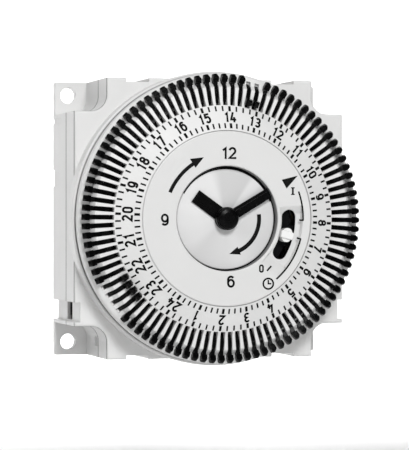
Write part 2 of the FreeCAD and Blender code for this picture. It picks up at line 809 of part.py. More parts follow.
def wire_run(points, level):
    """A round wire along straight runs with rounded corners, in one plane."""
    radius = 0.45
    pieces = []
    for (x0, z0), (x1, z1) in zip(points, points[1:]):
        start = Vector(x0, level, z0)
        run = Vector(x1 - x0, 0, z1 - z0)
        pieces.append(Part.makeCylinder(radius, run.Length, start, run))
    for x, z in points[1:-1]:
        pieces.append(Part.makeSphere(radius, Vector(x, level, z)))
    return joined(pieces) if len(pieces) > 1 else pieces[0]


# ---- every separate piece --------------------------------------------------------
def build_all():
    """Each node's name and its shape."""
    motion = motion_place()
    transfer = transfer_place()
    output_x, output_z = polar(output_distance, output_angle)
    to_transfer = math.degrees(math.atan2(transfer[1] - motion[1], transfer[0] - motion[0]))
    pinion_bore = axle_radius + running_gap
    transfer_tooth = to_transfer + 180 + 180.0 / 24
    turns_to_ring = (transfer_angle() - transfer_tooth) / (360.0 / 24)
    gap_at = transfer_angle() + (round(turns_to_ring) - turns_to_ring) * 360.0 / 80
    nodes = {
        "front_housing": build_front_housing(),
        "rear_housing": build_rear_housing(),
        "face_plate": build_face_plate(),
        "centre_disc": build_centre_disc(),
        "dial_retainer": build_dial_retainer(),
        "dial_ring": build_dial_ring(),
        "tappet_carrier": build_tappet_carrier(),
        "dial_gear": ring_gear(dial_module, 80, -35.95, -32.5, gap_at, gear_ring_outer),
        "tappet_hinge_ring": build_hinge_ring(),
        "tappets": build_tappet_group(),
        "hour_hand": hand(9.8, 3.6, 3.5, 2.9, pipe_radius, -39.7, -39.1, 144.5, 0.2),
        "minute_hand": hand(12.9, 2.8, 2.6, 2.9, arbor_radius, face_y, -40.1, 30.5, 0.35),
        "hub_cap": build_hub_cap(),
        "minute_arbor": build_minute_arbor(),
        "cannon_pinion": gear(drive_module, 12, -32.4, -31.4, motion_angle, arbor_radius),
        "drive_wheel": gear(drive_module, 60, -29.3, -28.4, output_angle + 3, arbor_radius),
        "clutch_spring": build_clutch_spring(),
        "hour_wheel": build_hour_wheel(),
        "motion_wheel": build_motion_wheel(to_transfer),
        "motion_axle": bar(axle_radius, -36.1, -30.0, *motion),
        "transfer_gear": gear(dial_module, 24, -34.5, -32.7, transfer_tooth, pinion_bore, *transfer),
        "transfer_axle": bar(axle_radius, -34.9, -30.0, *transfer),
        "movement_front_plate": build_movement_front_plate(),
        "movement_rear_plate": build_movement_rear_plate(),
        "movement_pillars": build_pillars(),
        "movement_screws": build_movement_screws(),
        "motor_can": build_motor_can(),
        "motor_lid": build_motor_lid(),
        "coil_bobbin": build_coil_bobbin(),
        "coil_winding": ring(13.8, 9.0, -23.0, -15.8, motor_x, motor_z),
        "rotor_magnet": ring(7.5, 0.75, -23.0, -16.0, motor_x, motor_z),
        "rotor_shaft": bar(0.75, -26.0, -13.6, motor_x, motor_z),
        "output_pinion": build_output_pinion(),
        "output_gear": gear(0.3, 30, -25.1, -24.2, 0.0, axle_radius, output_x, output_z),
        "override_lever": build_override_lever(),
        "override_knob": build_override_knob(),
        "detent_spring": build_detent_spring(),
        "feeler_lever": build_feeler_lever(),
        "feeler_pin": build_feeler_pin(),
        "feeler_spring": build_feeler_spring(),
        "switch_case": build_switch_case(),
        "switch_lid": build_switch_lid(),
        "switch_plunger": build_switch_plunger(),
        "switch_blade": build_switch_blade(),
        "switch_pins": Part.makeCompound(switch_pins()),
        "terminal_blades": Part.makeCompound(blade_shapes()),
        "lead_wires": build_lead_wires(),
    }
    for number in jointed_tappets:
        nodes["tappet_%d" % number] = build_tappet(number, number not in off_tappets)
    return nodes


os.makedirs("parts", exist_ok=True)
for name, shape in build_all().items():
    shape.exportStep("parts/%s.step" % name)
    report = (name, len(shape.Solids), shape.Volume, shape.isValid())
    print("%-22s %3d solids  %10.2f mm3  valid %s" % report)
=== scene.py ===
import json
import math

import bmesh
import bpy
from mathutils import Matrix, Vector


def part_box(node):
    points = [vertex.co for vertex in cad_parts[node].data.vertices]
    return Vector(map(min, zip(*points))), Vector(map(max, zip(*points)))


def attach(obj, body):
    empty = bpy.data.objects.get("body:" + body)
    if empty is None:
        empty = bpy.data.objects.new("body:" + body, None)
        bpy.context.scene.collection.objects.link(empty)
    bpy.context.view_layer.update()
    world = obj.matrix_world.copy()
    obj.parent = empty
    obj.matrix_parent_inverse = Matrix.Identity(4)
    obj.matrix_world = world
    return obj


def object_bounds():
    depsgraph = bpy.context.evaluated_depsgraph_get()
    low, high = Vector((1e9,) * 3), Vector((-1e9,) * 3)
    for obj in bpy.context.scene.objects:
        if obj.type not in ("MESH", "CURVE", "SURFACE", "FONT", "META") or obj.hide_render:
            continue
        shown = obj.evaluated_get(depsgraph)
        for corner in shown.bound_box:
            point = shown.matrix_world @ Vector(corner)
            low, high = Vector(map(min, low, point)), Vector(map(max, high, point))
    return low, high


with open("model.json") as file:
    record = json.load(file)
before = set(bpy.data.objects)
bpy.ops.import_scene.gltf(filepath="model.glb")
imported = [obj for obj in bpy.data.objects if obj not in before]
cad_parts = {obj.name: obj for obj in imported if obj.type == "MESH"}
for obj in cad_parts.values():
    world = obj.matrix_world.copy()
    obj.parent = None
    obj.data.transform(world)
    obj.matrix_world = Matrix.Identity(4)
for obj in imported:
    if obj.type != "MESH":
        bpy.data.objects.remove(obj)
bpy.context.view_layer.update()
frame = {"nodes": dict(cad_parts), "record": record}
nodes = frame["nodes"]

MM = 0.001

# ---- sizes of the case and its openings, in millimetres and degrees --------------
CASE_HALF = 36.0
NOTCH_X = 8.5
NOTCH_Z = 8.65
NOTCH_ROUND = 4.2
RECESS_START = 16.5
RECESS_END = 22.5
CHANNEL_START = 21.3
CHANNEL_END = 26.4
JOINT_Y = -15.9
JOINT_HALF = 0.14
LINE_Y = -25.5
LINE_WIDTH = 0.35
SLOT_RADIUS = 16.5
SLOT_HALF = 1.8
SLOT_ARC = (-31.3, 1.6)
SLOT_WALL_Y = (-39.75, -38.3)
CUP_RADIUS = 13.3
CUP_FRONT_Y = -40.72
# places of the painted shade behind the side windows
PAINTED_SHADE_X = (33.5, 33.65)
PAINTED_SHADE_Y = (-18.0, -10.4)
PAINTED_SHADE_Z = (-27.2, -20.6)
STRIP_HALF = 0.04
LINING_LAYERS = (0.03, -0.05)  # from the wall, into the moulding and into the opening

# ---- sizes of the dial and the printing, in millimetres and degrees --------------
CONE_GAP = 0.1
CONE_DEPTH = 6.5
RIM_FLAT = 0.4
HOUR_AT_POINTER = 10.167
POINTER_ANGLE = 30.0
PRINT_LIFT = 0.03
INNER_TICKS = (22.75, 24.05)
OUTER_TICKS = (27.15, 28.45)
HOUR_TICK = 0.64
FINE_LINE = 0.42
HOUR_FIGURE = 2.6
HOUR_FIGURE_RADIUS = 25.65
HOUR_STYLE = (0.61, 0.2)  # a figure's width and pen, as shares of its height
CLOCK_FIGURE = 3.05
CLOCK_STYLE = (0.67, 0.175)
ZERO_FIGURE = 2.1
ZERO_STYLE = (0.6, 0.2)
LEVER_ARC_RADIUS = 20.0
LEVER_TICK = (18.95, 20.1)
MITRE_LIMIT = 0.5
NARROW_ONE = 0.62
FIGURE_GAP = 0.9

# ---- places read from the frame, in metres ---------------------------------------
face_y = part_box("face_plate")[0].y
disc_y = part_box("centre_disc")[0].y
disc_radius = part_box("centre_disc")[1].x / MM  # in millimetres
cup_floor_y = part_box("centre_disc")[1].y
rim_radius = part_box("dial_ring")[1].x
face_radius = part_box("face_plate")[1].x
cone_inner = face_radius + CONE_GAP * MM
cone_outer = rim_radius - RIM_FLAT * MM
cone_slope = CONE_DEPTH * MM / (cone_outer - cone_inner)
object_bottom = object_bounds()[0].z


# ---- pieces ----------------------------------------------------------------------
def new_piece(name, points, faces, finish):
    """A linked mesh piece in one finish."""
    mesh = bpy.data.meshes.new(name)
    mesh.from_pydata(points, [], faces)
    piece = bpy.data.objects.new(name, mesh)
    bpy.context.scene.collection.objects.link(piece)
    mesh.materials.append(finish)
    return piece


def turn_outward(mesh):
    """Turns every face of a closed mesh outward."""
    shell = bmesh.new()
    shell.from_mesh(mesh)
    bmesh.ops.recalc_face_normals(shell, faces=shell.faces)
    shell.to_mesh(mesh)
    shell.free()


# ---- surfaces that carry printing ------------------------------------------------
def on_plane(depth):
    """Maps (radius, angle) in millimetres and radians to a flat face at one depth."""
    def place(radius, angle, lift):
        r = radius * MM
        return Vector((r * math.cos(angle), depth - lift, r * math.sin(angle)))
    return place


def on_cone(radius, angle, lift):
    """Maps (radius, angle) in millimetres and radians to the dial's conical face."""
    r = radius * MM
    depth = face_y + (r - cone_inner) * cone_slope - lift
    return Vector((r * math.cos(angle), depth, r * math.sin(angle)))


class Ink:
    """Flat printed shapes, gathered as (radius, angle) outlines and laid on a surface."""

    def __init__(self, surface):
        self.surface = surface
        self.points = []
        self.faces = []

    def add(self, points, faces):
        """Adds a patch of faces over polar points."""
        start = len(self.points)
        self.points += points
        self.faces += [[start + i for i in face] for face in faces]

    def add_flat(self, points, faces, radius, angle, spin):
        """Adds a patch drawn flat in millimetres, centred at a polar place and spun there."""
        turn = math.radians(spin)
        middle = math.radians(angle)
        polar = []
        for u, v in points:
            x = radius * math.cos(middle) + u * math.cos(turn) - v * math.sin(turn)
            z = radius * math.sin(middle) + u * math.sin(turn) + v * math.cos(turn)
            polar.append((math.hypot(x, z), math.atan2(z, x)))
        self.add(polar, faces)

    def block(self, left, right, low, high, radius, angle, spin):
        """A plain rectangle drawn flat at a polar place."""
        corners = [(left, low), (right, low), (right, high), (left, high)]
        self.add_flat(corners, [[0, 1, 2, 3]], radius, angle, spin)

    def tick(self, angle, inner, outer, width):
        """A short radial line."""
        self.block(inner, outer, -width / 2, width / 2, 0, 0, angle)

    def arc(self, radius, width, start, end, steps=40):
        """A curved line of even width."""
        points = []
        for step in range(steps + 1):
            angle = math.radians(start + (end - start) * step / steps)
            points += [(radius - width / 2, angle), (radius + width / 2, angle)]
        faces = [[2 * i, 2 * i + 1, 2 * i + 3, 2 * i + 2] for i in range(steps)]
        self.add(points, faces)

    def arrow_head(self, radius, base_angle, tip_angle, width, tip_radius):
        """A solid triangle at the end of a curved line."""
        base = math.radians(base_angle)
        tip = (tip_radius, math.radians(tip_angle))
        self.add([(radius - width / 2, base), (radius + width / 2, base), tip], [[0, 1, 2]])

    def stroke(self, points, width, closed, height, shift, radius, angle, spin):
        """One pen stroke of a figure, drawn along a centre line in units of the figure's height."""
        count = len(points)
        outline = []
        for i, (u, v) in enumerate(points):
            before = points[i - 1] if i or closed else points[i]
            after = points[(i + 1) % count] if i < count - 1 or closed else points[i]
            if before == (u, v):
                before = (2 * u - after[0], 2 * v - after[1])
            if after == (u, v):
                after = (2 * u - before[0], 2 * v - before[1])
            first = Vector((u - before[0], v - before[1])).normalized()
            second = Vector((after[0] - u, after[1] - v)).normalized()
            side = Vector((-first.y - second.y, first.x + second.x)).normalized()
            reach = width / 2 / max(MITRE_LIMIT, side.dot(Vector((-first.y, first.x))))
            outline.append((u + side.x * reach, v + side.y * reach))
            outline.append((u - side.x * reach, v - side.y * reach))
        spans = count if closed else count - 1
        total = 2 * count
        faces = [[2 * i + 1, (2 * i + 3) % total, (2 * i + 2) % total, 2 * i] for i in range(spans)]
        flat = [((u + shift) * height, (v - 0.5) * height) for u, v in outline]
        self.add_flat(flat, faces, radius, angle, spin)

    def figures(self, body, height, radius, angle, spin, wide, pen):
        """A number in plain stroked figures, centred at a polar place."""
        gap = FIGURE_GAP * pen
        widths = [wide * NARROW_ONE if sign == "1" else wide for sign in body]
        shift = -(sum(widths) + gap * (len(body) - 1)) / 2
        for sign, width in zip(body, widths):
            for closed, points in figure_strokes(sign, width, pen):
                self.stroke(points, pen, closed, height, shift, radius, angle, spin)
            shift += width + gap

    def lay(self, name, finish, body):
        """Makes the printed piece: a thin closed layer, half of it proud of its surface."""
        count = len(self.points)
        front = [self.surface(r, a, PRINT_LIFT * MM) for r, a in self.points]
        back = [self.surface(r, a, -PRINT_LIFT * MM) for r, a in self.points]
        edges = {}
        for face in self.faces:
            for a, b in zip(face, face[1:] + face[:1]):
                edges[(a, b)] = edges.get((a, b), 0) + 1
        rims = [(a, b) for a, b in edges if (b, a) not in edges]
        faces = [list(face) for face in self.faces]
        faces += [[count + i for i in reversed(face)] for face in self.faces]
        faces += [[b, a, count + a, count + b] for a, b in rims]
        piece = new_piece(name, front + back, faces, finish)
        piece.data.validate()
        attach(piece, body)


def bow(u, v, across, up, start, end, steps=12):
    """Points along part of an ellipse, in degrees."""
    turns = [math.radians(start + (end - start) * i / steps) for i in range(steps + 1)]
    return [(u + across * math.cos(t), v + up * math.sin(t)) for t in turns]


def figure_strokes(sign, wide, pen):
    """The centre lines of one figure, one unit high: pairs of (closed, points)."""
    left, right = pen / 2, wide - pen / 2
    low, high = pen / 2, 1 - pen / 2
    middle = wide / 2
    half = (right - left) / 2
    if sign == "0":
        upper = bow(middle, high - half, half, half, 180, 0)
        lower = bow(middle, low + half, half, half, 0, -180)
        return [(True, upper + lower)]
    if sign == "1":
        return [(False, [(left, high - 0.2), (right, high - 0.02), (right, 0)])]
    if sign == "2":
        hook = bow(middle, high - half, half, half, 165, -30)
        return [(False, hook + [(left, low), (wide, low)])]
    if sign == "3":
        up = (high - low) / 4
        upper = bow(middle, high - up, half * 0.94, up, 150, -90)
        lower = bow(middle, low + up, half, up, 90, -150)
        return [(False, upper + lower[1:])]
    if sign == "4":
        bar = [(middle + 0.02, 1), (left, 0.27), (wide, 0.27)]
        leg = [(right - 0.1, 0.52), (right - 0.1, 0)]
        return [(False, bar), (False, leg)]
    if sign == "5":
        bowl = bow(middle, low + 0.27, half, 0.27, 128, -150)
        flag = [(right, high), (left + 0.03, high), (left, 0.5)]
        return [(False, flag), (False, bowl)]
    if sign == "6":
        stem = bow(middle, high - half, half, half, 35, 180, 8) + [(left, low + 0.28)]
        bowl = bow(middle, low + 0.28, half, 0.28, 0, 345, 23)
        return [(True, bowl), (False, stem)]
    if sign == "7":
        return [(False, [(left, high), (right, high), (middle - 0.08, 0)])]
    if sign == "8":
        upper = bow(middle, high - 0.2, half * 0.88, 0.2, 0, 345, 23)
        lower = bow(middle, low + 0.233, half, 0.233, 0, 345, 23)
        return [(True, upper), (True, lower)]
    six = figure_strokes("6", wide, pen)
    return [(closed, [(wide - u, 1 - v) for u, v in points]) for closed, points in six]


# ---- materials -------------------------------------------------------------------
NOISE_LOW = 0.38
NOISE_HIGH = 0.7
MIX_FACTOR = 0
MIX_FIRST = 6
MIX_SECOND = 7
MIX_RESULT = 2
RING_TURNS = 60000.0  # radians per metre of the disc's fine rings
# painted sheen: the disc's base tone by angle, light and dark wedges standing in for the spun metal's
# reflections
DISC_PAINTED_SHEEN = [
    (-180, 0.74), (-150, 0.7), (-130, 0.62), (-95, 0.65), (-70, 0.7), (-30, 0.64), (0, 0.66), (36, 0.69),
    (44, 0.77), (52, 0.76), (60, 0.61), (95, 0.62), (112, 0.77), (165, 0.77), (180, 0.74)]


def new_material(name):
    """A new node material, with its nodes and its links."""
    made = bpy.data.materials.new(name)
    made.use_nodes = True
    return made, made.node_tree.nodes, made.node_tree.links


def noise(tree_nodes, links, coords, scale, detail=3.0, rough=0.55):
    """A noise texture over the object's own coordinates."""
    texture = tree_nodes.new("ShaderNodeTexNoise")
    texture.inputs["Scale"].default_value = scale
    texture.inputs["Detail"].default_value = detail
    texture.inputs["Roughness"].default_value = rough
    links.new(coords.outputs["Object"], texture.inputs["Vector"])
    return texture


def spread(tree_nodes, links, source, low, high):
    """Maps a noise value from its usual range to low..high."""
    spreader = tree_nodes.new("ShaderNodeMapRange")
    spreader.inputs["From Min"].default_value = NOISE_LOW
    spreader.inputs["From Max"].default_value = NOISE_HIGH
    spreader.inputs["To Min"].default_value = low
    spreader.inputs["To Max"].default_value = high
    links.new(source, spreader.inputs["Value"])
    return spreader.outputs["Result"]


def tone(tree_nodes, links, factor, dark, light):
    """A colour between two tones by a factor."""
    mixer = tree_nodes.new("ShaderNodeMix")
    mixer.data_type = "RGBA"
    mixer.inputs[MIX_FIRST].default_value = (*dark, 1)
    mixer.inputs[MIX_SECOND].default_value = (*light, 1)
    links.new(factor, mixer.inputs[MIX_FACTOR])
    return mixer.outputs[MIX_RESULT]


def moulded(name, colour, rough, grain=2600.0, relief=0.012, mottle=0.02, edge=0.25, coat=0.0,
            shine=0.5):
    """Moulded plastic: spark-eroded grain, faint mottling and softly rounded edges."""
    made, tree, links = new_material(name)
    shader = tree["Principled BSDF"]
    coords = tree.new("ShaderNodeTexCoord")
    broad = noise(tree, links, coords, 90.0, 4.0)
    fine = noise(tree, links, coords, grain, 2.0)
    dark = [c * (1 - mottle) for c in colour]
    light = [min(1.0, c * (1 + mottle)) for c in colour]
    links.new(tone(tree, links, spread(tree, links, broad.outputs["Fac"], 0, 1), dark, light),
              shader.inputs["Base Color"])
    polish = spread(tree, links, fine.outputs["Fac"], rough - 0.05, rough + 0.05)
    links.new(polish, shader.inputs["Roughness"])
    rounding = tree.new("ShaderNodeBevel")
    rounding.samples = 6
    rounding.inputs["Radius"].default_value = edge * MM
    bump = tree.new("ShaderNodeBump")
    bump.inputs["Strength"].default_value = 0.6
    bump.inputs["Distance"].default_value = relief * MM
    links.new(fine.outputs["Fac"], bump.inputs["Height"])
    links.new(rounding.outputs["Normal"], bump.inputs["Normal"])
    links.new(bump.outputs["Normal"], shader.inputs["Normal"])
    shader.inputs["Coat Weight"].default_value = coat
    shader.inputs["Coat Roughness"].default_value = 0.15
    shader.inputs["Specular IOR Level"].default_value = shine
    return made


def worked_metal(name, colour, rough, grain=1800.0, stretch=(1.0, 12.0, 1.0)):
    """Turned or rolled metal with fine drawn lines."""
    made, tree, links = new_material(name)
    shader = tree["Principled BSDF"]
    coords = tree.new("ShaderNodeTexCoord")
    mapping = tree.new("ShaderNodeMapping")
    mapping.inputs["Scale"].default_value = stretch
    links.new(coords.outputs["Object"], mapping.inputs["Vector"])
    lines = tree.new("ShaderNodeTexNoise")
    lines.inputs["Scale"].default_value = grain
    links.new(mapping.outputs["Vector"], lines.inputs["Vector"])
    links.new(tone(tree, links, spread(tree, links, lines.outputs["Fac"], 0, 1),
                   [c * 0.9 for c in colour], colour), shader.inputs["Base Color"])
    polish = spread(tree, links, lines.outputs["Fac"], rough - 0.08, rough + 0.08)
    links.new(polish, shader.inputs["Roughness"])
    bump = tree.new("ShaderNodeBump")
    bump.inputs["Strength"].default_value = 0.4
    bump.inputs["Distance"].default_value = 0.005 * MM
    links.new(lines.outputs["Fac"], bump.inputs["Height"])
    links.new(bump.outputs["Normal"], shader.inputs["Normal"])
    shader.inputs["Metallic"].default_value = 1.0
    return made


def spun_silver(name):
    """The spun disc: fine rings, and soft wedges of painted sheen and shade about its centre, standing
    in for the spun metal's reflections.
    """
    made, tree, links = new_material(name)
    shader = tree["Principled BSDF"]
    coords = tree.new("ShaderNodeTexCoord")
    parts = tree.new("ShaderNodeSeparateXYZ")
    links.new(coords.outputs["Object"], parts.inputs["Vector"])
    turn = tree.new("ShaderNodeMath")
    turn.operation = "ARCTAN2"
    links.new(parts.outputs["Z"], turn.inputs[0])
    links.new(parts.outputs["X"], turn.inputs[1])
    share = tree.new("ShaderNodeMapRange")
    share.inputs["From Min"].default_value = -math.pi
    share.inputs["From Max"].default_value = math.pi
    links.new(turn.outputs[0], share.inputs["Value"])
    # painted sheen: the base colour runs lighter and darker by angle round the disc's centre
    painted_sheen = tree.new("ShaderNodeValToRGB")
    painted_sheen.color_ramp.interpolation = "EASE"
    stops = painted_sheen.color_ramp.elements
    for degrees, light in DISC_PAINTED_SHEEN:
        place = (degrees + 180) / 360
        if place == 0:
            stop = stops[0]
        elif place == 1:
            stop = stops[-1]
        else:
            stop = stops.new(place)
        stop.color = (light, light, light, 1)
    links.new(share.outputs["Result"], painted_sheen.inputs["Fac"])
    links.new(painted_sheen.outputs["Color"], shader.inputs["Base Color"])
    length = tree.new("ShaderNodeVectorMath")
    length.operation = "LENGTH"
    links.new(coords.outputs["Object"], length.inputs[0])
    close = tree.new("ShaderNodeMath")
    close.operation = "MULTIPLY"
    close.inputs[1].default_value = RING_TURNS
    links.new(length.outputs["Value"], close.inputs[0])
    rings = tree.new("ShaderNodeMath")
    rings.operation = "SINE"
    links.new(close.outputs[0], rings.inputs[0])
    bump = tree.new("ShaderNodeBump")
    bump.inputs["Strength"].default_value = 0.2
    bump.inputs["Distance"].default_value = 0.003 * MM
    links.new(rings.outputs[0], bump.inputs["Height"])
    links.new(bump.outputs["Normal"], shader.inputs["Normal"])
    shader.inputs["Metallic"].default_value = 0.25
    shader.inputs["Roughness"].default_value = 0.45
    return made


def printing_ink(name):
    """Matt black pad-printed ink with a slight unevenness."""
    made, tree, links = new_material(name)
    shader = tree["Principled BSDF"]
    coords = tree.new("ShaderNodeTexCoord")
    uneven = noise(tree, links, coords, 4000.0, 2.0)
    links.new(tone(tree, links, spread(tree, links, uneven.outputs["Fac"], 0, 1),
                   (0.002, 0.002, 0.002), (0.006, 0.006, 0.006)), shader.inputs["Base Color"])
    links.new(spread(tree, links, uneven.outputs["Fac"], 0.5, 0.7), shader.inputs["Roughness"])
    shader.inputs["Specular IOR Level"].default_value = 0.1
    return made


MOULDED = [
    ("housing_plastic", (0.7, 0.7, 0.695), 0.5, dict(grain=2200.0, relief=0.02, edge=0.3)),
    ("face_plastic", (0.68, 0.68, 0.675), 0.42, dict(grain=3000.0, relief=0.006, mottle=0.01)),
    ("dial_plastic", (0.72, 0.72, 0.715), 0.5, dict(grain=3200.0, relief=0.03, mottle=0.03, edge=0.12)),
    ("tappet_plastic", (0.001, 0.001, 0.0011), 0.2, dict(relief=0.006, edge=0.1, shine=0.11)),
    ("hand_plastic", (0.001, 0.001, 0.0011), 0.3, dict(relief=0.006, edge=0.12, shine=0.1)),
    ("knob_plastic", (0.86, 0.86, 0.85), 0.22, dict(grain=1500.0, relief=0.003, edge=0.25, coat=0.5)),
    ("gear_plastic", (0.78, 0.76, 0.7), 0.35, dict(relief=0.004, edge=0.05)),
    ("coil_former", (0.45, 0.06, 0.03), 0.4, dict(relief=0.008)),
    ("switch_plastic", (0.004, 0.004, 0.0045), 0.45, dict(relief=0.01, shine=0.05)),
    ("wire_cover", (0.02, 0.05, 0.25), 0.35, dict(relief=0.004)),
    ("magnet", (0.03, 0.03, 0.032), 0.55, dict(relief=0.02))]
METALS = [
    ("steel", (0.58, 0.58, 0.58), 0.3, {}),
    ("brass", (0.75, 0.55, 0.25), 0.28, {}),
    ("tinned_blade", (0.72, 0.72, 0.7), 0.25, {}),
    ("motor_steel", (0.55, 0.55, 0.52), 0.38, dict(grain=900.0)),
    ("copper_wire", (0.6, 0.22, 0.08), 0.3, dict(grain=2200.0, stretch=(1.0, 0.1, 1.0)))]

finishes = {"silvered_metal": spun_silver("silvered_metal")}
for slot, colour, rough, extras in MOULDED:
    finishes[slot] = moulded(slot, colour, rough, **extras)
for slot, colour, rough, extras in METALS:
    finishes[slot] = worked_metal(slot, colour, rough, **extras)
# painted shade: dark grey for the cup's wall
painted_wall_shade = moulded("painted_wall_shade", (0.26, 0.26, 0.26), 0.6, relief=0.004, edge=0.02, shine=0.2)
# painted shade: near black for the shadow in the gaps round the case
painted_gap_shade = moulded("painted_gap_shade", (0.08, 0.08, 0.08), 0.7, relief=0.002, edge=0.02, shine=0.1)
ink = printing_ink("printing_ink")


def dress_frame():
    """Gives every CAD piece the finish of its material slot."""
    for entry in frame["record"]["subparts"]:
        piece = nodes[entry["node"]]
        if not piece.material_slots:
            piece.data.materials.append(finishes[entry["material_slot"]])
        for holder in piece.material_slots:
            holder.material = finishes[entry["material_slot"]]


# ---- printing --------------------------------------------------------------------
def hour_angle(hour):
    """Where an hour stands on the dial, in degrees."""
    return POINTER_ANGLE + 15 * (hour - HOUR_AT_POINTER)


def print_dial():
    """The two rings of quarter-hour ticks and the twenty-four figures."""
    ring = Ink(on_cone)
    for quarter in range(96):
        angle = hour_angle(quarter / 4)
        width = HOUR_TICK if quarter % 4 == 0 else FINE_LINE
        ring.tick(angle, *INNER_TICKS, width)
        ring.tick(angle, *OUTER_TICKS, width)
    for hour in range(1, 25):
        angle = hour_angle(hour)
        ring.figures(str(hour), HOUR_FIGURE, HOUR_FIGURE_RADIUS, angle, angle - 90, *HOUR_STYLE)
    ring.lay("dial_printing", ink, "dial")


def print_plate():
    """Clock figures, the turning arrow, the time pointer and the lever's three places."""
    plate = Ink(on_plane(face_y))
    for body, radius, angle in (("12", 16.5, 88.8), ("9", 16.4, 181.0), ("6", 15.9, -87.0)):
        plate.figures(body, CLOCK_FIGURE, radius, angle, 0, *CLOCK_STYLE)
    plate.arc(16.4, 0.92, 156.5, 123.0)
    plate.arrow_head(16.6, 123.5, 112.2, 2.65, 16.6)
    plate.add_flat([(17.3, -1.28), (21.5, 0.05), (17.3, 1.28)], [[0, 1, 2]], 0, 0, 30.3)
    plate.arc(LEVER_ARC_RADIUS, FINE_LINE, 20.1, -1.4)
    plate.tick(-1.2, *LEVER_TICK, FINE_LINE)
    plate.arc(LEVER_ARC_RADIUS, FINE_LINE, -14.9, -50.0)
    plate.tick(-15.0, *LEVER_TICK, FINE_LINE)
    for left, right, low, high in (
            (-0.24, 0.24, -0.98, 0.98), (-0.48, 0.48, 0.7, 0.98), (-0.48, 0.48, -0.98, -0.7)):
        plate.block(left, right, low, high, 18.6, 22.0, 0)
    plate.figures("0", ZERO_FIGURE, 15.45, -54.9, 0, *ZERO_STYLE)
    plate.block(-0.85, 0.85, -0.2, 0.2, 16.7, -49.1, 46)
    clock_sign(plate, 19.65, -57.0)
    plate.lay("face_printing", ink, "case")


def print_disc():
    """The disc's turning arrow, a painted shadow along the top of its rim, and painted shade in the dark
    gap round it.
    """
    disc = Ink(on_plane(disc_y))
    disc.arc(8.9, 1.05, 7.0, -67.0)
    disc.arrow_head(8.9, -66.0, -83.4, 2.15, 9.0)
    # painted shadow: a dark crescent of ink along the top of the disc's rim, where the cup's upper wall
    # casts shade
    disc.arc(disc_radius - 0.16, 0.34, 150, 20, 30)
    disc.lay("disc_print_and_painted_shadow", ink, "case")
    # painted shade: black ink on the cup floor in the gap round the disc, darkening the gap
    gap = Ink(on_plane(cup_floor_y))
    gap.arc((disc_radius + CUP_RADIUS) / 2, CUP_RADIUS - disc_radius - 0.06, 0, 360, 96)
    gap.lay("disc_gap_painted_shade", ink, "case")


def clock_sign(plate, radius, angle):
    """A small clock: a circle with two hands."""
    steps = 28
    outer, inner = 1.55, 1.12
    hand = 0.18
    points = []
    for step in range(steps):
        turn = 2 * math.pi * step / steps
        points.append((outer * math.cos(turn), outer * math.sin(turn)))
        points.append((inner * math.cos(turn), inner * math.sin(turn)))
    total = 2 * steps
    faces = [[2 * i, (2 * i + 2) % total, (2 * i + 3) % total, 2 * i + 1] for i in range(steps)]
    plate.add_flat(points, faces, radius, angle, 0)
    plate.block(-hand, hand, -hand, 0.95, radius, angle, 0)
    plate.block(hand, 0.8, -hand, hand, radius, angle, 0)


# ---- painted shade in gaps and openings ------------------------------------------
def bar_faces(count):
    """Faces of a closed bar: count points in pairs along its front, and as many behind."""
    faces = []
    for i in range(0, count - 2, 2):
        a, b, c, d = i, i + 1, i + 2, i + 3
        faces += [[a, b, d, c], [count + c, count + d, count + b, count + a]]
        faces += [[a, c, count + c, count + a], [count + b, count + d, d, b]]
    faces += [[0, count, count + 1, 1], [count - 2, count - 1, 2 * count - 1, 2 * count - 2]]
    return faces


def case_paths():
    """The case's notched outline as open paths that leave out its channels and recesses."""
    side = CASE_HALF
    notch = []
    for step in range(13):
        turn = math.radians(270 - 90 * step / 12)
        x = side - NOTCH_X + NOTCH_ROUND * (1 + math.cos(turn))
        z = side - NOTCH_Z + NOTCH_ROUND * (1 + math.sin(turn))
        notch.append((x, z))
    corner = [(side, side - NOTCH_Z)] + notch + [(side - NOTCH_X, side), (RECESS_END, side)]
    paths = []
    for sx in (-1, 1):
        paths += [[(sx * RECESS_START, side), (0, side)], [(sx * RECESS_START, -side), (0, -side)]]
        paths.append([(sx * x, z) for x, z in [(side, 0)] + corner])
        paths.append([(sx * side, 0), (sx * side, -CHANNEL_START)])
        paths.append([(sx * x, -z) for x, z in [(side, CHANNEL_END)] + corner])
    return paths


def shade_line(name, front, rear):
    """A dark line round the case between two depths, hardly proud of its sides: painted shade standing
    in for the shadow in the gap between two mouldings.
    """
    points = []
    faces = []
    for path in case_paths():
        rows = []
        for i, (x, z) in enumerate(path):
            before = Vector(path[max(i - 1, 0)])
            after = Vector(path[min(i + 1, len(path) - 1)])
            along = (after - before).normalized()
            side = Vector((-along.y, along.x)) * STRIP_HALF
            rows += [(x + side.x, z + side.y), (x - side.x, z - side.y)]
        start = len(points)
        points += [(x * MM, front * MM, z * MM) for x, z in rows]
        points += [(x * MM, rear * MM, z * MM) for x, z in rows]
        faces += [[start + i for i in face] for face in bar_faces(len(rows))]
    piece = new_piece(name, points, faces, painted_gap_shade)
    turn_outward(piece.data)
    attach(piece, "case")


def lining(name, outline, centre, front, rear, finish):
    """A thin dark layer along the wall of an opening, from its outline in x and z: painted shade on that
    wall.
    """
    count = len(outline)
    points = []
    for depth in (front, rear):
        for grow in LINING_LAYERS:
            for x, z in outline:
                out = (Vector((x, z)) - centre(x, z)).normalized() * grow
                points.append(((x + out.x) * MM, depth * MM, (z + out.y) * MM))
    faces = []
    near_out, near_in, far_out, far_in = (count * layer for layer in range(4))
    for i in range(count):
        j = (i + 1) % count
        faces.append([near_out + i, near_out + j, near_in + j, near_in + i])
        faces.append([far_out + j, far_out + i, far_in + i, far_in + j])
        faces.append([near_out + j, near_out + i, far_out + i, far_out + j])
        faces.append([near_in + i, near_in + j, far_in + j, far_in + i])
    piece = new_piece(name, points, faces, finish)
    turn_outward(piece.data)
    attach(piece, "case")


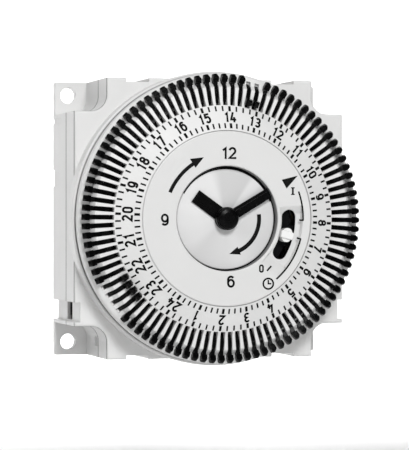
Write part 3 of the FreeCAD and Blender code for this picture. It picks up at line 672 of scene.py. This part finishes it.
def line_openings():
    """The walls of the lever's slot and of the cup round the disc, darkened with painted shade."""
    start, end = SLOT_ARC
    track = [math.radians(start + (end - start) * i / 20) for i in range(21)]
    low, high = SLOT_RADIUS - SLOT_HALF, SLOT_RADIUS + SLOT_HALF
    outline = [(high * math.cos(t), high * math.sin(t)) for t in track]
    for t, first in ((track[-1], 0.0), (track[0], 180.0)):
        for i in range(1, 12):
            a = t + math.radians(first + 180 * i / 12)
            x = SLOT_RADIUS * math.cos(t) + SLOT_HALF * math.cos(a)
            z = SLOT_RADIUS * math.sin(t) + SLOT_HALF * math.sin(a)
            outline.append((x, z))
        if first == 0.0:
            outline += [(low * math.cos(u), low * math.sin(u)) for u in reversed(track)]

    def middle(x, z):
        """The nearest place on the slot's centre line."""
        turn = min(max(math.atan2(z, x), track[0]), track[-1])
        return Vector((SLOT_RADIUS * math.cos(turn), SLOT_RADIUS * math.sin(turn)))

    # painted shade: the slot's walls lined in black, standing in for the shade inside the slot
    lining("slot_painted_shade", outline, middle, *SLOT_WALL_Y, finishes["switch_plastic"])
    circle = [math.radians(3.75 * i) for i in range(96)]
    ring = [(CUP_RADIUS * math.cos(t), CUP_RADIUS * math.sin(t)) for t in circle]
    cup_rear_y = cup_floor_y / MM - 0.1
    # painted shade: the cup's wall lined in dark grey, standing in for the shade on it
    lining("cup_painted_shade", ring, lambda x, z: Vector((0, 0)), CUP_FRONT_Y, cup_rear_y, painted_wall_shade)


def window_shade(name, side):
    """A dark block behind the window in one side channel: painted shade standing in for the dark inside
    of the case.
    """
    across = sorted(side * x for x in PAINTED_SHADE_X)
    corners = [(x, y, z) for x in across for y in PAINTED_SHADE_Y for z in PAINTED_SHADE_Z]
    faces = [[0, 1, 3, 2], [4, 6, 7, 5], [0, 4, 5, 1], [2, 3, 7, 6], [0, 2, 6, 4], [1, 5, 7, 3]]
    piece = new_piece(name, [Vector(c) * MM for c in corners], faces, finishes["switch_plastic"])
    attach(piece, "case")


# ---- studio, in metres -----------------------------------------------------------
FLOOR_DROP = 40 * MM
FLOOR_HALF = 1.6
SWEEP_START = 0.95
SWEEP_ROUND = 0.3
BACKDROP_Y = 1.25
BACKDROP_TOP = 1.4
CAMERA_SWING = 16.3  # degrees
CAMERA_REACH = 560 * MM
PLATE_Y = -0.026


def area_light(name, place, target, size, power):
    """A soft rectangular light aimed at a point."""
    light = bpy.data.lights.new(name, "AREA")
    light.shape = "RECTANGLE"
    light.size, light.size_y = size
    light.energy = power
    holder = bpy.data.objects.new(name, light)
    holder.location = place
    holder.rotation_euler = (Vector(target) - Vector(place)).to_track_quat("-Z", "Y").to_euler()
    bpy.context.scene.collection.objects.link(holder)


def build_studio():
    """A pale floor that sweeps up into a backdrop, soft lights and a bright surround."""
    floor_z = object_bottom - FLOOR_DROP
    profile = [(-FLOOR_HALF, 0.0), (SWEEP_START, 0.0)]
    for step in range(1, 13):
        turn = math.radians(90 * step / 12)
        y = SWEEP_START + SWEEP_ROUND * math.sin(turn)
        z = SWEEP_ROUND - SWEEP_ROUND * math.cos(turn)
        profile.append((y, z))
    profile.append((BACKDROP_Y, BACKDROP_TOP))
    points = []
    for y, z in profile:
        points += [(-FLOOR_HALF, y, floor_z + z), (FLOOR_HALF, y, floor_z + z)]
    faces = [[2 * i, 2 * i + 1, 2 * i + 3, 2 * i + 2] for i in range(len(profile) - 1)]
    paper, tree = new_material("studio_paper")[:2]
    tree["Principled BSDF"].inputs["Base Color"].default_value = (0.93, 0.93, 0.93, 1)
    tree["Principled BSDF"].inputs["Roughness"].default_value = 0.9
    floor = new_piece("studio_floor", points, faces, paper)
    for polygon in floor.data.polygons:
        polygon.use_smooth = True
    world = bpy.data.worlds.new("studio_surround")
    world.use_nodes = True
    world.node_tree.nodes["Background"].inputs["Color"].default_value = (1, 1, 1, 1)
    world.node_tree.nodes["Background"].inputs["Strength"].default_value = 0.17
    bpy.context.scene.world = world
    area_light("key_light", (-0.02, -0.93, 0.5), (0, -0.04, 0), (0.24, 0.24), 7.1)
    area_light("side_light", (-0.62, -0.2, 0.88), (0, -0.02, 0), (0.3, 0.3), 2.9)
    area_light("backdrop_light", (0.0, 0.28, 0.34), (0, 1.1, 0.0), (1.6, 0.3), 20.0)


def build_camera():
    """A long lens, level with the middle of the timer and a little to its left."""
    swing = math.radians(CAMERA_SWING)
    camera = bpy.data.cameras.new("camera")
    camera.lens = 173.5
    camera.sensor_width = 36.0
    camera.shift_x = -0.0145
    camera.shift_y = -0.0143
    camera.clip_start = 0.05
    holder = bpy.data.objects.new("camera", camera)
    holder.location = (-CAMERA_REACH * math.sin(swing), PLATE_Y - CAMERA_REACH * math.cos(swing), 0)
    holder.rotation_euler = (math.radians(90), 0, -swing)
    bpy.context.scene.collection.objects.link(holder)
    bpy.context.scene.camera = holder


build_camera()
dress_frame()
print_dial()
print_plate()
print_disc()
# painted shade along the joint of the housings and behind the front edge
shade_line("joint_painted_shade", JOINT_Y - JOINT_HALF, JOINT_Y + JOINT_HALF)
shade_line("edge_painted_shade", LINE_Y, LINE_Y + LINE_WIDTH)
line_openings()
# painted shade: black blocks behind the side windows
window_shade("window_painted_shade_left", -1)
window_shade("window_painted_shade_right", 1)
build_studio()
bpy.context.scene.view_settings.view_transform = "Standard"
